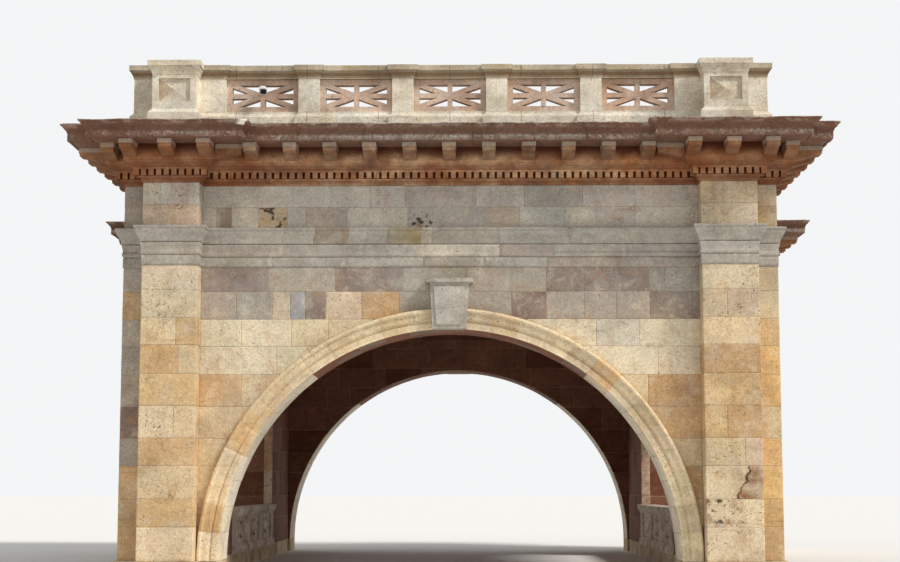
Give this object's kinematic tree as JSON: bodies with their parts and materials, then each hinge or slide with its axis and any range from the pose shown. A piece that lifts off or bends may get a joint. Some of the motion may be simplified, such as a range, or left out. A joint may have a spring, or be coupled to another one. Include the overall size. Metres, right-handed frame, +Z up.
{
  "type": "triumphal arch",
  "caption": "Free-standing classical triumphal arch of ashlar stone: arched passage, side openings, pilasters, modillion cornice and pierced parapet.",
  "frame": {"origin": "middle of the bounding box's underside, on the ground", "axes": "+Z up; +Y through the arch from the near front to the far front; +X to the right as seen from the near front"},
  "size_m": [17.06, 16.8, 9.3],
  "materials": {
    "wall_stone": "weathered limestone ashlar, matt, pitted and stained",
    "pilaster_stone": "weathered limestone ashlar, matt, pitted and stained",
    "plinth_stone": "weathered limestone ashlar, matt, pitted and stained",
    "moulded_stone": "weathered limestone ashlar, matt, pitted and stained",
    "cornice_stone": "weathered limestone ashlar, matt, pitted and stained",
    "bed_stone": "weathered limestone ashlar, matt, pitted and stained",
    "parapet_stone": "weathered limestone ashlar, matt, pitted and stained",
    "panel_stone": "weathered limestone ashlar, matt, pitted and stained",
    "vault_stone": "weathered limestone ashlar, matt, pitted and stained",
    "roof_stone": "weathered limestone ashlar, matt, pitted and stained",
    "camera_shell": "satin white plastic housing"
  },
  "bodies": {
    "root": {"plinth_left": "plinth_stone", "plinth_right": "plinth_stone", "near_pier_left": "wall_stone", "near_pier_right": "wall_stone", "near_arch_wall": "wall_stone", "near_pilasters": "pilaster_stone", "near_archivolt": "moulded_stone", "near_keystone": "moulded_stone", "near_string_course": "moulded_stone", "near_bed_moulding": "bed_stone", "near_modillions": "bed_stone", "near_cornice": "cornice_stone", "side_wall_piers_left": "wall_stone", "side_wall_piers_right": "wall_stone", "side_arch_wall_left": "wall_stone", "side_arch_wall_right": "wall_stone", "side_archivolts": "moulded_stone", "side_keystones": "moulded_stone", "side_string_courses": "moulded_stone", "side_bed_mouldings": "bed_stone", "side_modillions": "bed_stone", "side_cornices": "cornice_stone", "far_wing_left": "wall_stone", "far_wing_right": "wall_stone", "far_pier_left": "wall_stone", "far_pier_right": "wall_stone", "far_arch_wall": "wall_stone", "far_pilasters": "pilaster_stone", "far_archivolt": "moulded_stone", "far_keystone": "moulded_stone", "far_string_course": "moulded_stone", "far_bed_moulding": "bed_stone", "far_modillions": "bed_stone", "far_cornice": "cornice_stone", "ceiling_vault": "vault_stone", "roof_slab": "roof_stone", "parapet_base": "parapet_stone", "parapet_pedestals": "parapet_stone", "parapet_rail": "parapet_stone", "corner_dies": "parapet_stone", "near_pierced_panels": "panel_stone", "side_pierced_panels": "panel_stone", "far_pierced_panels": "panel_stone", "guard_pedestals": "parapet_stone", "guard_panels": "panel_stone", "guard_rails": "parapet_stone", "watch_camera": "camera_shell"}
  },
  "joints": []
}
